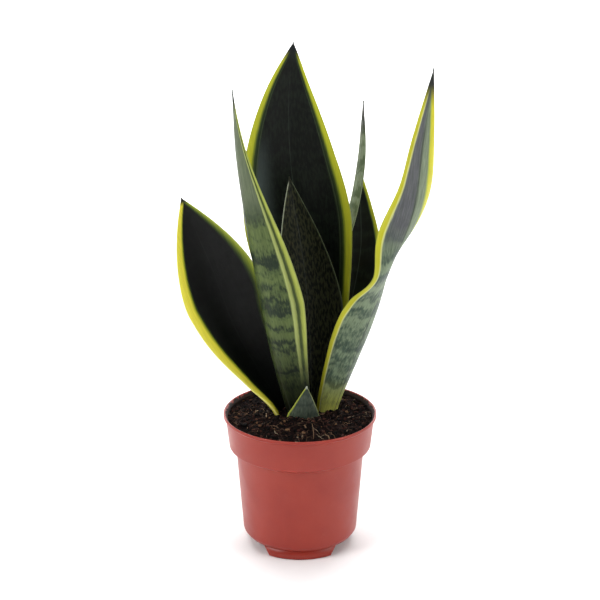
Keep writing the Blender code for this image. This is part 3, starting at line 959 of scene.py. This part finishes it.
def make_soil_surface():
    rings_count, segments = ((110, 360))
    bm = bmesh.new()
    rings = [[bm.verts.new((0, 0, soil_height(0, 0)))]]
    for i in range(1, rings_count + 1):
        radius = SOIL_EDGE * i / rings_count
        ring = []
        for k in range(segments):
            turn = 2 * math.pi * k / segments
            x, y = radius * math.cos(turn), radius * math.sin(turn)
            ring.append(bm.verts.new((x, y, soil_height(x, y))))
        rings.append(ring)
    for drop, inset in SKIRT:
        radius = SOIL_EDGE - inset
        turns = [2 * math.pi * k / segments for k in range(segments)]
        rings.append([
            bm.verts.new((radius * math.cos(a), radius * math.sin(a), SOIL_TOP - drop)) for a in turns
        ])
    for low, high in zip(rings, rings[1:]):
        for k in range(segments):
            m = (k + 1) % segments
            corners = [low[k % len(low)], low[m % len(low)], high[m], high[k]]
            bm.faces.new(list(dict.fromkeys(corners)))
    bm.faces.new(rings[-1])
    bmesh.ops.recalc_face_normals(bm, faces=bm.faces)
    return piece("soil_surface", bm, soil_look())


def lump_shape(subdivisions):
    """The points and faces of a round lump of radius 1."""
    base = bmesh.new()
    bmesh.ops.create_icosphere(base, subdivisions=subdivisions, radius=1.0)
    shape = [v.co.copy() for v in base.verts]
    faces = [[v.index for v in f.verts] for f in base.faces]
    base.free()
    return shape, faces


def make_crumbs():
    """Lumps of peat and bark of many sizes, lying on the surface."""
    chance = random.Random(11)
    coarse, fine = lump_shape(1), lump_shape(2)
    bm = bmesh.new()
    tone_layer = bm.verts.layers.float.new("tone")
    for _ in range(CRUMBS):
        radius = CRUMB_REACH * math.sqrt(chance.random())
        turn = chance.random() * 2 * math.pi
        x, y = radius * math.cos(turn), radius * math.sin(turn)
        size = CRUMB_SIZES[0] + CRUMB_SIZES[1] * chance.random() ** 3
        tone = min(max(chance.gauss(0.45, 0.25), 0.0), 1.0)
        limits = ((0.7, 1.5), (0.6, 1.0), (0.45, 0.9))
        stretch = Vector([chance.uniform(low, high) for low, high in limits])
        turned = Matrix.Rotation(chance.random() * 6.283, 3, "Z")
        spin = turned @ Matrix.Rotation(chance.gauss(0, 0.4), 3, "X")
        centre = Vector((x, y, soil_height(x, y) + size * 0.25))
        offset = Vector((chance.random() * 50, chance.random() * 50, chance.random() * 50))
        shape, faces = coarse if size < SMALL_CRUMB else fine
        made = []
        for point in shape:
            swell = 1 + 0.45 * noise.noise(point * 1.6 + offset)
            local = Vector((point.x * stretch.x, point.y * stretch.y, point.z * stretch.z)) * swell
            vert = bm.verts.new(centre + spin @ (local * size))
            vert[tone_layer] = tone
            made.append(vert)
        for face in faces:
            bm.faces.new([made[i] for i in face])
    return piece("soil_crumbs", bm, crumb_look())


def tube(bm, layer, points, radius, tone, sides=6):
    """A closed thin tube along points, tapering to its ends."""
    rings = []
    for i, point in enumerate(points):
        before, after = points[max(i - 1, 0)], points[min(i + 1, len(points) - 1)]
        tangent = (after - before).normalized()
        side = tangent.cross(Vector((0.13, 0.21, 1.0))).normalized()
        up = side.cross(tangent)
        thin = radius * (0.55 + 0.45 * math.sin(math.pi * i / (len(points) - 1)))
        ring = []
        for k in range(sides):
            turn = 2 * math.pi * k / sides
            vert = bm.verts.new(point + (side * math.cos(turn) + up * math.sin(turn)) * thin)
            vert[layer] = tone
            ring.append(vert)
        rings.append(ring)
    for low, high in zip(rings, rings[1:]):
        for k in range(sides):
            m = (k + 1) % sides
            bm.faces.new((low[k], low[m], high[m], high[k]))
    bm.faces.new(rings[0])
    bm.faces.new(rings[-1])


def make_fibres():
    """Coir and root fibres and a few twigs among the crumbs, and one stick that stands in front."""
    chance = random.Random(5)
    bm = bmesh.new()
    layer = bm.verts.layers.float.new("tone")
    for i in range(FIBRES):
        twig = i % TWIG_EVERY == 0
        radius = FIBRE_START_REACH * math.sqrt(chance.random())
        turn = chance.random() * 2 * math.pi
        x, y = radius * math.cos(turn), radius * math.sin(turn)
        heading = chance.random() * 2 * math.pi
        length = chance.uniform(0.004, 0.009) if twig else chance.uniform(0.003, 0.010)
        bend = 0.15 if twig else 0.9
        points = []
        for j in range(FIBRE_POINTS):
            heading += chance.gauss(0, bend) * 0.35
            x += math.cos(heading) * length / (FIBRE_POINTS - 1)
            y += math.sin(heading) * length / (FIBRE_POINTS - 1)
            if math.hypot(x, y) > FIBRE_END_REACH:
                break
            lift = 0.0005 + 0.0010 * math.sin(math.pi * j / (FIBRE_POINTS - 1)) * chance.random()
            points.append(Vector((x, y, soil_height(x, y) + lift)))
        if len(points) > 3:
            thick = chance.uniform(0.0003, 0.0006) if twig else chance.uniform(0.00007, 0.00017)
            tone = min(max(chance.gauss(0.5, 0.25), 0.0), 1.0)
            tube(bm, layer, points, thick, tone)
    foot = Vector((*STICK_FOOT, soil_height(*STICK_FOOT) - STICK_SUNK))
    stick = []
    for j in range(9):
        bow = Vector((STICK_BEND * math.sin(j / 2), 0, 0))
        stick.append(foot + STICK_REACH * (j / 8) + bow)
    tube(bm, layer, stick, STICK_RADIUS, 0.8)
    bmesh.ops.recalc_face_normals(bm, faces=bm.faces)
    return piece("soil_fibres", bm, fibre_look())


# ---------------------------------------------------------------- studio


def area_light(name, place, target, size, power, spread=180):
    lamp = bpy.data.lights.new(name, "AREA")
    lamp.shape = "RECTANGLE"
    lamp.size, lamp.size_y = size
    lamp.energy = power
    lamp.spread = math.radians(spread)
    obj = bpy.data.objects.new(name, lamp)
    bpy.context.scene.collection.objects.link(obj)
    obj.location = place
    obj.rotation_euler = (Vector(target) - Vector(place)).to_track_quat("-Z", "Y").to_euler()
    return obj


def make_studio():
    bm = bmesh.new()
    rows = []
    profile = [(FLOOR_FRONT, 0.0), (FLOOR_BACK, 0.0)]
    for i in range(1, 25):
        a = math.pi / 2 * i / 24
        y = FLOOR_BACK + BACKDROP_BEND * math.sin(a)
        profile.append((y, BACKDROP_BEND - BACKDROP_BEND * math.cos(a)))
    profile += [(FLOOR_BACK + BACKDROP_BEND, BACKDROP_TOP)]
    for y, z in profile:
        ends = (-FLOOR_HALF_WIDTH, FLOOR_HALF_WIDTH)
        rows.append([bm.verts.new((x, y, z - FLOOR_DROP)) for x in ends])
    for low, high in zip(rows, rows[1:]):
        bm.faces.new((low[0], low[1], high[1], high[0]))
    mesh = bpy.data.meshes.new("studio_floor")
    bm.to_mesh(mesh)
    bm.free()
    mesh.shade_smooth()
    floor = bpy.data.objects.new("studio_floor", mesh)
    bpy.context.scene.collection.objects.link(floor)
    mesh.materials.append(floor_look())

    world = bpy.data.worlds.new("studio_air")
    world.use_nodes = True
    air = world.node_tree.nodes["Background"]
    air.inputs["Color"].default_value = (1.0, 1.0, 1.0, 1.0)
    air.inputs["Strength"].default_value = AIR_STRENGTH
    bpy.context.scene.world = world

    area_light("key", (-1.5, -0.9, 1.3), (0, 0, 0.2), (0.8, 1.2), 23)
    area_light("fill", (1.6, -0.7, 1.0), (0, 0, 0.2), (0.8, 1.2), 14)
    area_light("top", (0, 0.3, 2.0), (0, 0.1, 0.2), (2.0, 2.0), 44)
    for name, side in (("backdrop_left", -1), ("backdrop_right", 1)):
        area_light(name, (1.6 * side, 0.9, 1.2), (0.2 * side, 2.0, 0.6), (0.6, 1.2), 36, 120)


def make_camera():
    lens = bpy.data.cameras.new("camera")
    lens.sensor_width = SENSOR
    lens.lens = LENS
    camera = bpy.data.objects.new("camera", lens)
    bpy.context.scene.collection.objects.link(camera)
    camera.location = CAMERA_PLACE
    camera.rotation_euler = (math.radians(CAMERA_TILT), 0, 0)
    bpy.context.scene.camera = camera


def dress(node, look):
    """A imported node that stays, with its material slots pointed at a finished look."""
    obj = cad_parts[node]
    for place in obj.material_slots:
        place.link = "OBJECT"
        place.material = look


bpy.context.scene.view_settings.view_transform = "Standard"
make_camera()
make_studio()
for leaf in LEAVES:
    make_leaf(leaf)
make_pot()
make_soil_surface()
make_crumbs()
make_fibres()
dress("soil", soil_look())
dress("rhizome", rhizome_look())
